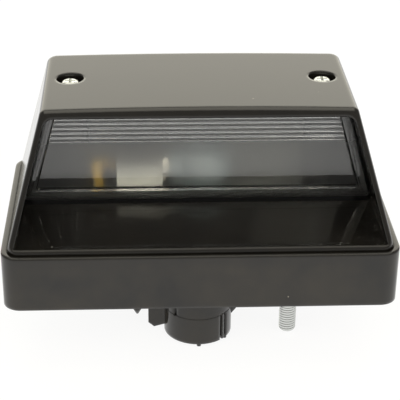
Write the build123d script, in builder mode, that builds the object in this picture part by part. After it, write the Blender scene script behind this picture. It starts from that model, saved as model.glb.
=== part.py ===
"""Number plate lamp: base with a round socket, leaning hood with a sloped mouth, lens, bulb and fixings.

Millimetres. X runs along the lamp, the sloped mouth looks to -Y, Z is up. Z = 0 is the mounting face.
"""
import os
from math import cos, radians, tan

from build123d import *

os.makedirs("parts", exist_ok=True)

# Fits between pieces
FIT = 0.3
SLIDE = 0.15

# Base tray
BASE_W = 110.0
BASE_D = 63.0
BASE_H = 16.4
BASE_CORNER = 5.0
BASE_EDGE = 0.35
BASE_WALL = 2.4
FLOOR_T = 3.0
FLANGE_W = 4.6
FLANGE_T = 3.6
LEDGE = 1.7
BACK_LEDGE = 0.8
GROOVE_W = 1.2
GROOVE_D = 1.2
RIB_T = 1.6
RIB_H = 5.0
RIB_X = 45.0

# Hood
HOOD_H = 51.4
HOOD_TOP_W = 87.0
CROWN = 0.5
DECK_T = 1.3
DECK_TAIL = 0.5
MOUTH_SETBACK = 19.2
HOOD_WALL = 1.6
ROOF_T = 2.0
BACK_WALL = 2.0
HOOD_EDGE = 2.0
LIP_H = 1.2
LIP_IN = 0.7
LIP_ROUND = 2.4
MOUTH_CORNER = 3.0
SPIGOT_T = 1.5
SPIGOT_H = 2.0

# Lens, its seal and the frame of the hood behind it, all leaning back
LENS_LEAN = 6.2
LENS_T = 2.4
LENS_GAP = 0.8
LENS_SEAL_T = 0.8
FRAME_T = 1.4
WINDOW_MARGIN = 2.6
WINDOW_SILL = 2.0
PAD_DEPTH = 0.8
FLUTE_R = 0.6
FLUTE_PITCH = 1.4
FLUTE_COUNT = 6
FLUTE_DROP = 4.4
FLUTE_END = 1.2
RAIL_W = 3.0
RAIL_OUT = 1.0
RAIL_EDGE = 0.9
FOOT_H = 4.2
STEP_H = 2.1
STEP_OUT = 0.3
LUG_W = 7.0
LUG_H = 1.1
LUG_SPOTS = [-39.5, 0.2]

# Cover screws, towers and inserts
SCREW_X = 36.3
SCREW_ROOM = 7.1
SCREW_D = 3.0
SCREW_L = 40.0
SCREW_HEAD_D = 5.8
SCREW_HEAD_H = 2.4
HEAD_ROUND = 0.6
RECESS_SPAN = 3.0
RECESS_W = 0.75
RECESS_D = 1.2
RECESS_TAPER = 12.0
TIP_ROOM = 1.0
SINK_D = 8.0
SINK_DEPTH = 2.9
TOWER_D = 9.6
INSERT_D = 4.8
INSERT_L = 6.0
WAIST_L = 1.2
WAIST_D = 4.1
WAIST_DROP = 2.4

# Mounting bolts
BOLT_D = 5.0
BOLT_NECK_D = 5.3
BOLT_TIP_R = 1.2
BOLT_REACH = 19.7
BOLT_X = 26.5
BOLT_Y = 12.5
BOLT_FLATS = 8.0
BOLT_HEAD_H = 3.5
BOLT_FENCE_D = 13.0
BOLT_FENCE_H = 3.0

# Round socket under the base
SOCKET_Y = -9.5
SOCKET_D = 20.0
SOCKET_L = 20.2
SOCKET_BORE = 16.4
SOCKET_ROOT = 4.0
SOCKET_NECK_D = 19.8
SOCKET_NECK_L = 11.8
FIN_T = 2.4
FIN_REACH = 14.7
FIN_SHORT = 0.8
FIN_CUT_W = 1.7
FIN_CUT_H = 1.5
FIN_RISE = 1.1
GUSSET_REACH = 15.4
GUSSET_KNEE_X = 13.6
GUSSET_KNEE_Z = 10.4
GUSSET_L = 16.2
LATCH_W = 0.9
LATCH_ANGLE = -49.0
LATCH_STEP = 10.0
NOTCH_ANGLE = -134.0
NOTCH_W = 0.9
PIP_D = 1.3
PIP_L = 0.9
PIP_ANGLES = [-90.0, -32.0]
PIN_D = 2.4
PIN_X = 3.6
PIN_TOP = 7.0
PIN_REACH = 15.0
PIN_TIP = 0.6
PIN_SHOULDER_D = 3.6
PIN_SHOULDER_T = 1.0
CORE_D = 13.6
CORE_FLANGE_D = 17.0
CORE_FLANGE_T = 1.6
CORE_NOSE_D = 10.4
CORE_NOSE_L = 6.0
CORE_EDGE = 0.6
PLUG_SEAL_T = 2.0
PEG_X = -17.9
PEG_Y = -19.5
PEG_D = 2.6
PEG_L = 9.0
PEG_TIP = 1.8
PEG_POINT_D = 0.7

# Bulb and its holder
BULB_RISE = 14.5
GLOBE_R = 9.0
GLOBE_X = 2.5
GLASS_T = 0.8
NECK_R = 6.4
CAP_R = 7.5
CAP_T = 0.5
CAP_END_T = 2.0
CAP_ROUND = 1.0
CAP_LEFT = -19.4
CAP_RIGHT = -8.0
BAYONET_D = 2.0
BAYONET_X = -14.0
BAYONET_R = 8.3
PLUG_T = 1.2
PLUG_D = 12.0
PLUG_TAPER = 25.0
FOOT_D = 5.0
FOOT_T = 0.8
FOOT_EYE_D = 9.0
STEM_R = 2.6
STEM_TOP = -3.6
STEM_FLARE_T = 1.0
STEM_PINCH_L = 10.4
STEM_PINCH_R = 3.4
STEM_HEAD_R = 1.6
WIRE_D = 0.6
SUPPORT_Y = 3.0
SUPPORT_ROOT_Y = 1.0
SUPPORT_OUT = 1.2
SUPPORT_SPREAD = 2.2
FILAMENT_D = 0.8
CUP_R = 9.6
CUP_GAP = 0.9
CUP_BORE_R = 8.7
CUP_LEFT = -23.5
CUP_RIGHT = -10.0
CUP_END_T = 1.8
CUP_WEB = 7.0
PLATE_T = 2.5
PLATE_GAP = 1.5
PLATE_LEFT = -30.5
PLATE_RIGHT = -2.0
PLATE_AHEAD = 11.7
PLATE_BEHIND = 5.8
PLATE_CORNER = 2.0
SLEEVE_T = 0.7
SLEEVE_RIGHT = -9.0
TAB_W = 4.0
TAB_T = 0.6
STRIP_T = 0.6
STRIP_W = 5.0
STRIP_X = -28.9
STRIP_LEAN = 2.0
STRIP_RISE = 2.4
WING_W = 2.2
STRIP_FOOT = 4.8
STRIP_BEND = 1.4
RIVET_D = 2.4
RIVET_BEHIND = 1.0
RIVET_HEAD_D = 3.0
RIVET_HEAD_H = 0.9
POST_LEFT_X = -17.0
POST_LEFT_AHEAD = 8.2
POST_RIGHT_X = -6.0
POST_RIGHT_BEHIND = 2.2
POST_D = 6.6
TAPPING_D = 2.9
TAPPING_L = 6.0
TAPPING_ROOM = 0.5
TAPPING_HEAD_D = 5.4
TAPPING_HEAD_H = 1.7
LEAD_D = 1.8
LEAD_RISE = 5.4
LEAD_BEND = 3.0
LEAD_TURN_X = -20.0
LEAD_TURN_Y = -3.0
LEAD_RUN_IN = 8.6
LEAD_LAP = 0.4

# Reflector
MIRROR_T = 1.2
MIRROR_HALF = 42.0
MIRROR_BACK = 6.3
MIRROR_GAP = 2.0
MIRROR_UP = 16.0
MIRROR_DOWN = 14.3
MIRROR_TAB_X = 32.0
MIRROR_TAB_W = 8.0
MIRROR_PEG_D = 3.0
MIRROR_PEG_H = 2.0

# Places that follow from the sizes above
base_front = -BASE_D / 2
base_back = BASE_D / 2
flange_in_x = BASE_W / 2 - FLANGE_W
flange_in_front = base_front + FLANGE_W
hood_front = base_front + LEDGE
hood_back = base_back - BACK_LEDGE
hood_depth = hood_back - hood_front
hood_mid = (hood_front + hood_back) / 2
foot_half = BASE_W / 2 - LEDGE
top_half = HOOD_TOP_W / 2
lean = (foot_half - top_half) / (HOOD_H - BASE_H)
deck_z = BASE_H + DECK_T
ceiling_z = HOOD_H - ROOF_T
mouth_top = base_front + MOUTH_SETBACK
mouth_run = (mouth_top - hood_front - LIP_IN) / (HOOD_H - deck_z)
mirror_y = base_back - MIRROR_BACK
bulb_y = mirror_y - MIRROR_GAP - GLOBE_R
frame_back = bulb_y - CUP_R - CUP_GAP
lean_cos = cos(radians(LENS_LEAN))
lean_tan = tan(radians(LENS_LEAN))
frame_front = frame_back - FRAME_T / lean_cos
chamber_front = frame_back + DECK_TAIL
lens_rise = (LENS_SEAL_T + LENS_T + RAIL_OUT) * lean_tan * lean_cos
lens_top = ceiling_z - FIT - lens_rise
lens_inset = HOOD_WALL + LENS_GAP
foot_z = deck_z + FOOT_H
step_z = deck_z + STEP_H
window_low = deck_z + WINDOW_SILL
window_high = ceiling_z - WINDOW_MARGIN
window_inset = HOOD_WALL + WINDOW_MARGIN
flute_top = window_high - FLUTE_DROP
plate_z = FLOOR_T + BOLT_HEAD_H + PLATE_GAP
bulb_z = plate_z + BULB_RISE
screw_y = frame_back + SCREW_ROOM
groove_in = HOOD_WALL / 2 - GROOVE_W / 2
seat_z = HOOD_H - SINK_DEPTH
insert_top = BASE_H - SLIDE
plate_top = plate_z + PLATE_T
plate_front = bulb_y - PLATE_AHEAD
plate_back = bulb_y + PLATE_BEHIND
strip_top = plate_top + STRIP_T
focal = mirror_y - bulb_y
mirror_low = bulb_z - MIRROR_DOWN
mirror_high = bulb_z + MIRROR_UP
mirror_low_y = mirror_y - MIRROR_DOWN ** 2 / (4 * focal)
mirror_high_y = mirror_y - MIRROR_UP ** 2 / (4 * focal)
mirror_peg_y = (mirror_low_y + MIRROR_T + base_back - BASE_WALL) / 2
foot_left = CAP_LEFT - PLUG_T - FOOT_T
rivet_x = STRIP_X + STRIP_FOOT - RIVET_HEAD_D / 2 - FIT
rivet_y = bulb_y + RIVET_BEHIND
cap_in = CAP_LEFT + CAP_END_T
socket_mid_r = (SOCKET_D + SOCKET_BORE) / 4
fin_low = FIN_SHORT - SOCKET_L
lead_z = PIN_TOP + SLIDE + LEAD_RISE
screw_spots = [(-SCREW_X, screw_y), (SCREW_X, screw_y)]
post_spots = [(POST_LEFT_X, bulb_y - POST_LEFT_AHEAD), (POST_RIGHT_X, bulb_y + POST_RIGHT_BEHIND)]
bolt_spots = [(BOLT_X, -BOLT_Y), (-BOLT_X, BOLT_Y)]
pin_spots = [(-PIN_X, SOCKET_Y), (PIN_X, SOCKET_Y)]
mirror_spots = [(-MIRROR_TAB_X, mirror_peg_y), (MIRROR_TAB_X, mirror_peg_y)]
frame_plane = Plane(origin=(0, frame_front, deck_z), x_dir=(1, 0, 0), z_dir=(0, -1, lean_tan))
lens_plane = frame_plane.offset(LENS_SEAL_T)
rail_plane = lens_plane.offset(LENS_T)
step_plane = rail_plane.offset(RAIL_OUT)


def wall_half(z):
    """Half width of the hood's outside at height z."""
    return foot_half - lean * (z - BASE_H)


def trapezoid(low, high, inset):
    """Corners of the hood's section between two heights, inset from the outside."""
    wide = wall_half(low) - inset
    narrow = wall_half(high) - inset
    return [(-wide, low), (wide, low), (narrow, high), (-narrow, high)]


def leaning(low, high, inset):
    """The same corners on a plane that leans back with the lens, measured from the deck up the slope."""
    return [(x, (z - deck_z) / lean_cos) for x, z in trapezoid(low, high, inset)]


def on_mouth_side(edge):
    """Whether an edge of the hood is one of the two long outer edges beside the sloped mouth."""
    run = edge.tangent_at(0.5)
    return edge.length > HOOD_H / 2 and abs(run.Y) > mouth_run / 2 and abs(run.Z) > mouth_run / 2


def on_rail_front(edge):
    """Whether an edge of the lens lies on the front of its rails and foot."""
    return abs(step_plane.to_local_coords(edge.center()).Z) < RAIL_EDGE / 10


# Base: tray with an inward flange, seal groove, bosses, posts, ribs and the socket below
with BuildPart() as base:
    with BuildSketch(Plane.XY) as base_plan:
        RectangleRounded(BASE_W, BASE_D, BASE_CORNER)
    extrude(amount=BASE_H)
    fillet(base.faces().sort_by(Axis.Z)[-1].edges(), BASE_EDGE)
    with BuildSketch(Plane.XY.offset(FLOOR_T)) as tray_plan:
        RectangleRounded(BASE_W - 2 * BASE_WALL, BASE_D - 2 * BASE_WALL, BASE_CORNER - BASE_WALL)
    extrude(amount=BASE_H - FLANGE_T - FLOOR_T, mode=Mode.SUBTRACT)
    with BuildSketch(Plane.XY.offset(FLOOR_T)) as mouth_plan:
        RectangleRounded(2 * flange_in_x, BASE_D - 2 * FLANGE_W, BASE_CORNER - BASE_WALL)
    extrude(amount=BASE_H - FLOOR_T, mode=Mode.SUBTRACT)
    with BuildSketch(Plane.XY.offset(BASE_H - GROOVE_D)) as groove_plan:
        with Locations((0, hood_mid)):
            RectangleRounded(
                2 * (foot_half - groove_in),
                hood_depth - 2 * groove_in,
                BASE_CORNER - LEDGE - groove_in,
            )
            RectangleRounded(
                2 * (foot_half - groove_in - GROOVE_W),
                hood_depth - 2 * (groove_in + GROOVE_W),
                BASE_CORNER - LEDGE - groove_in - GROOVE_W,
                mode=Mode.SUBTRACT,
            )
    extrude(amount=GROOVE_D, mode=Mode.SUBTRACT)
    # stiffening ribs across the floor
    with BuildSketch(Plane.XY.offset(FLOOR_T)) as rib_plan:
        with Locations((-RIB_X, 0), (RIB_X, 0)):
            Rectangle(RIB_T, BASE_D - BASE_WALL)
    extrude(amount=RIB_H)
    # bosses for the inserts, posts for the lampholder and the reflector
    with BuildSketch(Plane.XY.offset(FLOOR_T)) as boss_plan:
        with Locations(*screw_spots):
            Circle(TOWER_D / 2)
    extrude(amount=BASE_H - FLOOR_T)
    with BuildSketch(Plane.XY.offset(FLOOR_T)) as post_plan:
        with Locations(*post_spots):
            Circle(POST_D / 2)
    extrude(amount=plate_z - FLOOR_T)
    with BuildSketch(Plane.XY.offset(FLOOR_T)) as mirror_post_plan:
        with Locations(*mirror_spots):
            Circle(POST_D / 2)
    extrude(amount=mirror_low - FLOOR_T)
    with BuildSketch(Plane.XY.offset(mirror_low)) as mirror_peg_plan:
        with Locations(*mirror_spots):
            Circle(MIRROR_PEG_D / 2)
    extrude(amount=MIRROR_T + MIRROR_PEG_H)
    # hexagonal fences that keep the bolt heads from turning
    with BuildSketch(Plane.XY.offset(FLOOR_T)) as fence_plan:
        with Locations(*bolt_spots):
            Circle(BOLT_FENCE_D / 2)
            RegularPolygon(BOLT_FLATS / 2 + FIT, 6, major_radius=False, mode=Mode.SUBTRACT)
    extrude(amount=BOLT_FENCE_H)
    # socket sleeve with a thicker lower collar, fin, gusset and locating peg
    with BuildSketch(Plane.XY) as sleeve_neck_plan:
        with Locations((0, SOCKET_Y)):
            Circle(SOCKET_NECK_D / 2)
    extrude(amount=-SOCKET_NECK_L)
    with BuildSketch(Plane.XY.offset(-SOCKET_NECK_L)) as collar_plan:
        with Locations((0, SOCKET_Y)):
            Circle(SOCKET_D / 2)
    extrude(amount=SOCKET_NECK_L - SOCKET_L)
    with BuildSketch(Plane.XZ.offset(-SOCKET_Y - FIN_T / 2)) as fin_side:
        with BuildLine() as fin_line:
            Polyline(
                (-socket_mid_r, 0),
                (-FIN_REACH, 0),
                (-FIN_REACH, fin_low + FIN_CUT_H),
                (-FIN_REACH + FIN_CUT_W, fin_low),
                (-socket_mid_r, fin_low + FIN_RISE),
                close=True,
            )
        make_face()
        with BuildLine() as gusset_line:
            Polyline(
                (socket_mid_r, 0),
                (GUSSET_REACH, 0),
                (GUSSET_KNEE_X, -GUSSET_KNEE_Z),
                (socket_mid_r, -GUSSET_L),
                close=True,
            )
        make_face()
    extrude(amount=FIN_T)
    with BuildSketch(Plane.XZ.offset(-PEG_Y)) as peg_half:
        with BuildLine() as peg_line:
            Polyline(
                (PEG_X, FLOOR_T / 2),
                (PEG_X + PEG_D / 2, FLOOR_T / 2),
                (PEG_X + PEG_D / 2, PEG_TIP - PEG_L),
                (PEG_X + PEG_POINT_D / 2, -PEG_L),
                (PEG_X, -PEG_L),
                close=True,
            )
        make_face()
    revolve(axis=Axis((PEG_X, PEG_Y, 0), (0, 0, 1)))
    # bore of the socket, seat of the core, latch slots
    with BuildSketch(Plane.XY.offset(-SOCKET_L)) as bore_plan:
        with Locations((0, SOCKET_Y)):
            Circle(SOCKET_BORE / 2)
    extrude(amount=SOCKET_L - SOCKET_ROOT, mode=Mode.SUBTRACT)
    with BuildSketch(Plane.XY.offset(-SOCKET_ROOT)) as core_plan:
        with Locations((0, SOCKET_Y)):
            Circle(CORE_D / 2 + SLIDE)
    extrude(amount=SOCKET_ROOT + FLOOR_T, mode=Mode.SUBTRACT)
    with BuildSketch(Plane.XY.offset(-SOCKET_L)) as latch_plan:
        with Locations((0, SOCKET_Y)):
            with PolarLocations(SOCKET_D / 2, 2, LATCH_ANGLE, 2 * LATCH_STEP):
                Rectangle(2 * (SOCKET_D - SOCKET_BORE), LATCH_W)
    extrude(amount=SOCKET_L - SOCKET_NECK_L, mode=Mode.SUBTRACT)
    with BuildSketch(Plane.XY.offset(-SOCKET_NECK_L)) as notch_plan:
        with Locations((0, SOCKET_Y)):
            with PolarLocations(SOCKET_NECK_D / 2, 1, NOTCH_ANGLE):
                Rectangle((SOCKET_NECK_D - SOCKET_BORE) / 2, NOTCH_W)
    extrude(amount=SOCKET_NECK_L - SOCKET_ROOT, mode=Mode.SUBTRACT)
    # moulded pips on the lower edge of the collar
    with BuildSketch(Plane.XY.offset(-SOCKET_L)) as pip_plan:
        with Locations((0, SOCKET_Y)):
            for angle in PIP_ANGLES:
                with PolarLocations(socket_mid_r, 1, angle):
                    Circle(PIP_D / 2)
    extrude(amount=-PIP_L)
    # holes for inserts, holder screws and bolts
    with BuildSketch(Plane.XY.offset(insert_top - INSERT_L)) as insert_plan:
        with Locations(*screw_spots):
            Circle(INSERT_D / 2 + SLIDE)
    extrude(amount=INSERT_L + SLIDE, mode=Mode.SUBTRACT)
    with BuildSketch(Plane.XY.offset(seat_z - SCREW_L - TIP_ROOM)) as relief_plan:
        with Locations(*screw_spots):
            Circle(SCREW_D / 2 + FIT)
    extrude(amount=insert_top - INSERT_L - seat_z + SCREW_L + TIP_ROOM, mode=Mode.SUBTRACT)
    with BuildSketch(Plane.XY.offset(plate_top - TAPPING_L - TAPPING_ROOM)) as tapping_plan:
        with Locations(*post_spots):
            Circle(TAPPING_D / 2 + SLIDE)
    extrude(amount=TAPPING_L, mode=Mode.SUBTRACT)
    with BuildSketch(Plane.XY) as bolt_plan:
        with Locations(*bolt_spots):
            Circle(BOLT_NECK_D / 2 + SLIDE)
    extrude(amount=FLOOR_T, mode=Mode.SUBTRACT)
base.part.label = "base"
export_step(base.part, "parts/base.step")

# Hood: leaning section run back to front, sloped mouth cut off, pocket and rear chamber hollowed out
with BuildPart() as hood:
    with BuildSketch(Plane.XZ.offset(-hood_back)) as hood_section:
        with BuildLine() as hood_line:
            Line((top_half, HOOD_H), (foot_half, BASE_H))
            Line((foot_half, BASE_H), (-foot_half, BASE_H))
            Line((-foot_half, BASE_H), (-top_half, HOOD_H))
            ThreePointArc((-top_half, HOOD_H), (0, HOOD_H + CROWN), (top_half, HOOD_H))
        make_face()
    extrude(amount=hood_depth)
    fillet(hood.edges().filter_by(lambda e: abs(e.tangent_at(0.5).Z) > 0.5), BASE_CORNER - LEDGE)
    with BuildSketch(Plane.YZ) as mouth_side:
        with BuildLine() as mouth_line:
            lip_low = deck_z - LIP_H
            lip_in = hood_front + LIP_IN
            over_z = HOOD_H + 2 * CROWN
            over_y = mouth_top + 2 * mouth_run * CROWN
            ahead_y = hood_front - HOOD_WALL
            Line((ahead_y, lip_low), (hood_front, lip_low))
            RadiusArc((hood_front, lip_low), (lip_in, deck_z), LIP_ROUND)
            Polyline((lip_in, deck_z), (over_y, over_z), (ahead_y, over_z), (ahead_y, lip_low))
        make_face()
    extrude(amount=BASE_W, both=True, mode=Mode.SUBTRACT)
    roof_edges = hood.edges().filter_by(lambda e: e.center().Z > HOOD_H - CROWN / 5)
    fillet(roof_edges + hood.edges().filter_by(on_mouth_side), HOOD_EDGE)
    with BuildSketch(Plane.XZ.offset(-chamber_front)) as pocket_section:
        with BuildLine() as pocket_line:
            Polyline(*trapezoid(deck_z, ceiling_z, HOOD_WALL), close=True)
        make_face()
        fillet(pocket_section.vertices().group_by(Axis.Y)[-1], MOUTH_CORNER)
    extrude(amount=chamber_front - base_front, mode=Mode.SUBTRACT)
    with BuildSketch(Plane.XZ.offset(BACK_WALL - hood_back)) as chamber_section:
        with BuildLine() as chamber_line:
            Polyline(*trapezoid(BASE_H, ceiling_z, HOOD_WALL), close=True)
        make_face()
    extrude(amount=hood_back - BACK_WALL - chamber_front, mode=Mode.SUBTRACT)
    # leaning frame that the lens lies against
    with BuildSketch(frame_plane) as frame_section:
        with BuildLine() as frame_line:
            Polyline(*leaning(deck_z - DECK_T / 2, ceiling_z + ROOF_T / 2, HOOD_WALL / 2), close=True)
        make_face()
    extrude(amount=-FRAME_T)
    with BuildSketch(frame_plane) as window_section:
        with BuildLine() as window_line:
            Polyline(*leaning(window_low, window_high, window_inset), close=True)
        make_face()
        fillet(window_section.vertices(), MOUTH_CORNER / 2)
    extrude(amount=-FRAME_T, mode=Mode.SUBTRACT)
    # spigot under the deck that drops inside the base
    with BuildSketch(Plane.XY.offset(BASE_H)) as spigot_plan:
        with BuildLine() as spigot_line:
            Polyline(
                (-flange_in_x + FIT, frame_back),
                (-flange_in_x + FIT, flange_in_front + FIT),
                (flange_in_x - FIT, flange_in_front + FIT),
                (flange_in_x - FIT, frame_back),
                (flange_in_x - FIT - SPIGOT_T, frame_back),
                (flange_in_x - FIT - SPIGOT_T, flange_in_front + FIT + SPIGOT_T),
                (-flange_in_x + FIT + SPIGOT_T, flange_in_front + FIT + SPIGOT_T),
                (-flange_in_x + FIT + SPIGOT_T, frame_back),
                close=True,
            )
        make_face()
        corner_points = spigot_plan.vertices().group_by(Axis.Y)[0]
        fillet(corner_points, BASE_CORNER - BASE_WALL)
    extrude(amount=-SPIGOT_H)
    # screw towers with sunk seats
    with BuildSketch(Plane.XY.offset(BASE_H)) as tower_plan:
        with Locations(*screw_spots):
            Circle(TOWER_D / 2)
    extrude(amount=ceiling_z - BASE_H + ROOF_T / 2)
    with BuildSketch(Plane.XY.offset(BASE_H)) as shank_plan:
        with Locations(*screw_spots):
            Circle(SCREW_D / 2 + FIT)
    extrude(amount=HOOD_H - BASE_H, mode=Mode.SUBTRACT)
    with BuildSketch(Plane.XY.offset(seat_z)) as sink_plan:
        with Locations(*screw_spots):
            Circle(SINK_D / 2)
    extrude(amount=SINK_DEPTH + 2 * CROWN, mode=Mode.SUBTRACT)
hood.part.label = "hood"
export_step(hood.part, "parts/hood.step")

# Lens: leaning plate with raised rails, a stepped foot with two lugs, and flutes on a pad behind
with BuildPart() as lens:
    with BuildSketch(lens_plane) as lens_section:
        with BuildLine() as lens_line:
            Polyline(*leaning(deck_z - LENS_T, lens_top, lens_inset), close=True)
        make_face()
        fillet(lens_section.vertices().group_by(Axis.Y)[-1], MOUTH_CORNER)
    extrude(amount=LENS_T)
    with BuildSketch(rail_plane) as rail_section:
        with BuildLine() as rail_out:
            Polyline(*leaning(deck_z - LENS_T, lens_top, lens_inset), close=True)
        make_face()
        fillet(rail_section.vertices().group_by(Axis.Y)[-1], MOUTH_CORNER)
        with BuildLine() as rail_in:
            Polyline(*leaning(foot_z, lens_top + LENS_T, lens_inset + RAIL_W), close=True)
        make_face(mode=Mode.SUBTRACT)
    extrude(amount=RAIL_OUT)
    fillet(lens.edges().filter_by(on_rail_front), RAIL_EDGE)
    with BuildSketch(step_plane) as step_section:
        with BuildLine() as step_line:
            Polyline(*leaning(deck_z - LENS_T, step_z, lens_inset + RAIL_EDGE), close=True)
        make_face()
        for x in LUG_SPOTS:
            with Locations((x, STEP_H / lean_cos + LUG_H / 2)):
                Rectangle(LUG_W, LUG_H)
    extrude(amount=STEP_OUT)
    split(bisect_by=Plane.XY.offset(deck_z), keep=Keep.TOP)
    with BuildSketch(lens_plane) as pad_section:
        with BuildLine() as pad_line:
            Polyline(*leaning(window_low + FIT, window_high - FIT, window_inset + FIT), close=True)
        make_face()
        fillet(pad_section.vertices(), MOUTH_CORNER / 2)
    extrude(amount=-PAD_DEPTH)
    for step in range(FLUTE_COUNT):
        flute_z = flute_top - step * FLUTE_PITCH
        flute_y = frame_front + (flute_z - deck_z) * lean_tan + (PAD_DEPTH - LENS_SEAL_T) / lean_cos
        flute_half = wall_half(flute_z) - window_inset - FLUTE_END
        with BuildSketch(Plane.YZ.offset(-flute_half)) as flute_side:
            with Locations((flute_y, flute_z)):
                Circle(FLUTE_R)
        extrude(amount=2 * flute_half)
lens.part.label = "lens"
export_step(lens.part, "parts/lens.step")

# Soft frame between lens and hood
with BuildPart() as lens_seal:
    with BuildSketch(frame_plane) as seal_section:
        with BuildLine() as seal_line:
            Polyline(*leaning(deck_z + FIT, lens_top - FIT, lens_inset + FIT), close=True)
        make_face()
        fillet(seal_section.vertices().group_by(Axis.Y)[-1], MOUTH_CORNER)
        with BuildLine() as seal_hole:
            Polyline(*leaning(window_low, window_high, window_inset), close=True)
        make_face(mode=Mode.SUBTRACT)
    extrude(amount=LENS_SEAL_T)
lens_seal.part.label = "lens_seal"
export_step(lens_seal.part, "parts/lens_seal.step")

# Soft ring in the groove of the base
with BuildPart() as hood_seal:
    with BuildSketch(Plane.XY.offset(BASE_H - GROOVE_D)) as ring_plan:
        ring_in = groove_in + SLIDE
        ring_w = GROOVE_W - 2 * SLIDE
        with Locations((0, hood_mid)):
            RectangleRounded(
                2 * (foot_half - ring_in),
                hood_depth - 2 * ring_in,
                BASE_CORNER - LEDGE - ring_in,
            )
            RectangleRounded(
                2 * (foot_half - ring_in - ring_w),
                hood_depth - 2 * (ring_in + ring_w),
                BASE_CORNER - LEDGE - ring_in - ring_w,
                mode=Mode.SUBTRACT,
            )
    extrude(amount=GROOVE_D)
hood_seal.part.label = "hood_seal"
export_step(hood_seal.part, "parts/hood_seal.step")

# Cover screws: pan heads with a cross recess
with BuildPart() as cover_screws:
    with BuildSketch(Plane.XY.offset(seat_z)) as head_plan:
        with Locations(*screw_spots):
            Circle(SCREW_HEAD_D / 2)
    extrude(amount=SCREW_HEAD_H)
    fillet(cover_screws.edges().group_by(Axis.Z)[-1], SCREW_HEAD_H * HEAD_ROUND)
    with BuildSketch(Plane.XY.offset(seat_z)) as thread_plan:
        with Locations(*screw_spots):
            Circle(SCREW_D / 2)
    extrude(amount=-SCREW_L)
    with BuildSketch(Plane.XY.offset(seat_z + SCREW_HEAD_H)) as recess_plan:
        with Locations(*screw_spots):
            Rectangle(RECESS_SPAN, RECESS_W)
            Rectangle(RECESS_W, RECESS_SPAN)
    extrude(amount=-RECESS_D, taper=RECESS_TAPER, mode=Mode.SUBTRACT)
cover_screws.part.label = "cover_screws"
export_step(cover_screws.part, "parts/cover_screws.step")

# Threaded inserts with a waist groove
with BuildPart() as screw_inserts:
    with BuildSketch(Plane.XY.offset(insert_top - INSERT_L)) as sleeve_plan:
        with Locations(*screw_spots):
            Circle(INSERT_D / 2)
            Circle(SCREW_D / 2 + SLIDE, mode=Mode.SUBTRACT)
    extrude(amount=INSERT_L)
    with BuildSketch(Plane.XY.offset(insert_top - WAIST_DROP)) as waist_plan:
        with Locations(*screw_spots):
            Circle(INSERT_D)
            Circle(WAIST_D / 2, mode=Mode.SUBTRACT)
    extrude(amount=-WAIST_L, mode=Mode.SUBTRACT)
screw_inserts.part.label = "screw_inserts"
export_step(screw_inserts.part, "parts/screw_inserts.step")

# Mounting bolts: hexagon heads on the floor, necks in it, rounded ends below
with BuildPart() as mounting_bolts:
    with BuildSketch(Plane.XY.offset(FLOOR_T)) as hex_plan:
        with Locations(*bolt_spots):
            RegularPolygon(BOLT_FLATS / 2, 6, major_radius=False)
    extrude(amount=BOLT_HEAD_H)
    with BuildSketch(Plane.XY.offset(FLOOR_T)) as neck_plan:
        with Locations(*bolt_spots):
            Circle(BOLT_NECK_D / 2)
    extrude(amount=-FLOOR_T)
    with BuildSketch(Plane.XY) as stud_plan:
        with Locations(*bolt_spots):
            Circle(BOLT_D / 2)
    extrude(amount=-BOLT_REACH)
    fillet(mounting_bolts.edges().group_by(Axis.Z)[0], BOLT_TIP_R)
mounting_bolts.part.label = "mounting_bolts"
export_step(mounting_bolts.part, "parts/mounting_bolts.step")

# Insulating core of the socket
with BuildPart() as connector_core:
    with BuildSketch(Plane.XY.offset(FLOOR_T)) as core_flange_plan:
        with Locations((0, SOCKET_Y)):
            Circle(CORE_FLANGE_D / 2)
    extrude(amount=CORE_FLANGE_T)
    with BuildSketch(Plane.XY.offset(FLOOR_T)) as core_body_plan:
        with Locations((0, SOCKET_Y)):
            Circle(CORE_D / 2)
    extrude(amount=-FLOOR_T - SOCKET_ROOT)
    with BuildSketch(Plane.XY.offset(-SOCKET_ROOT)) as nose_plan:
        with Locations((0, SOCKET_Y)):
            Circle(CORE_NOSE_D / 2)
    extrude(amount=-CORE_NOSE_L)
    chamfer(connector_core.edges().group_by(Axis.Z)[0], CORE_EDGE)
    with BuildSketch(Plane.XY.offset(FLOOR_T + CORE_FLANGE_T)) as pin_hole_plan:
        with Locations(*pin_spots):
            Circle(PIN_D / 2 + SLIDE)
    extrude(amount=-FLOOR_T - CORE_FLANGE_T - SOCKET_ROOT - CORE_NOSE_L, mode=Mode.SUBTRACT)
connector_core.part.label = "connector_core"
export_step(connector_core.part, "parts/connector_core.step")

# Round pins with a shoulder on the core and a tapered tip
with BuildPart() as connector_pins:
    with BuildSketch(Plane.XY.offset(-PIN_REACH)) as pin_plan:
        with Locations(*pin_spots):
            Circle(PIN_D / 2)
    extrude(amount=PIN_REACH + PIN_TOP)
    chamfer(connector_pins.edges().group_by(Axis.Z)[0], PIN_TIP)
    with BuildSketch(Plane.XY.offset(FLOOR_T + CORE_FLANGE_T)) as shoulder_plan:
        with Locations(*pin_spots):
            Circle(PIN_SHOULDER_D / 2)
    extrude(amount=PIN_SHOULDER_T)
connector_pins.part.label = "connector_pins"
export_step(connector_pins.part, "parts/connector_pins.step")

# Soft ring at the root of the socket
with BuildPart() as plug_seal:
    with BuildSketch(Plane.XY.offset(-SOCKET_ROOT)) as plug_seal_plan:
        with Locations((0, SOCKET_Y)):
            Circle(SOCKET_BORE / 2 - SLIDE)
            Circle(CORE_NOSE_D / 2 + FIT, mode=Mode.SUBTRACT)
    extrude(amount=-PLUG_SEAL_T)
plug_seal.part.label = "plug_seal"
export_step(plug_seal.part, "parts/plug_seal.step")

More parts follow.
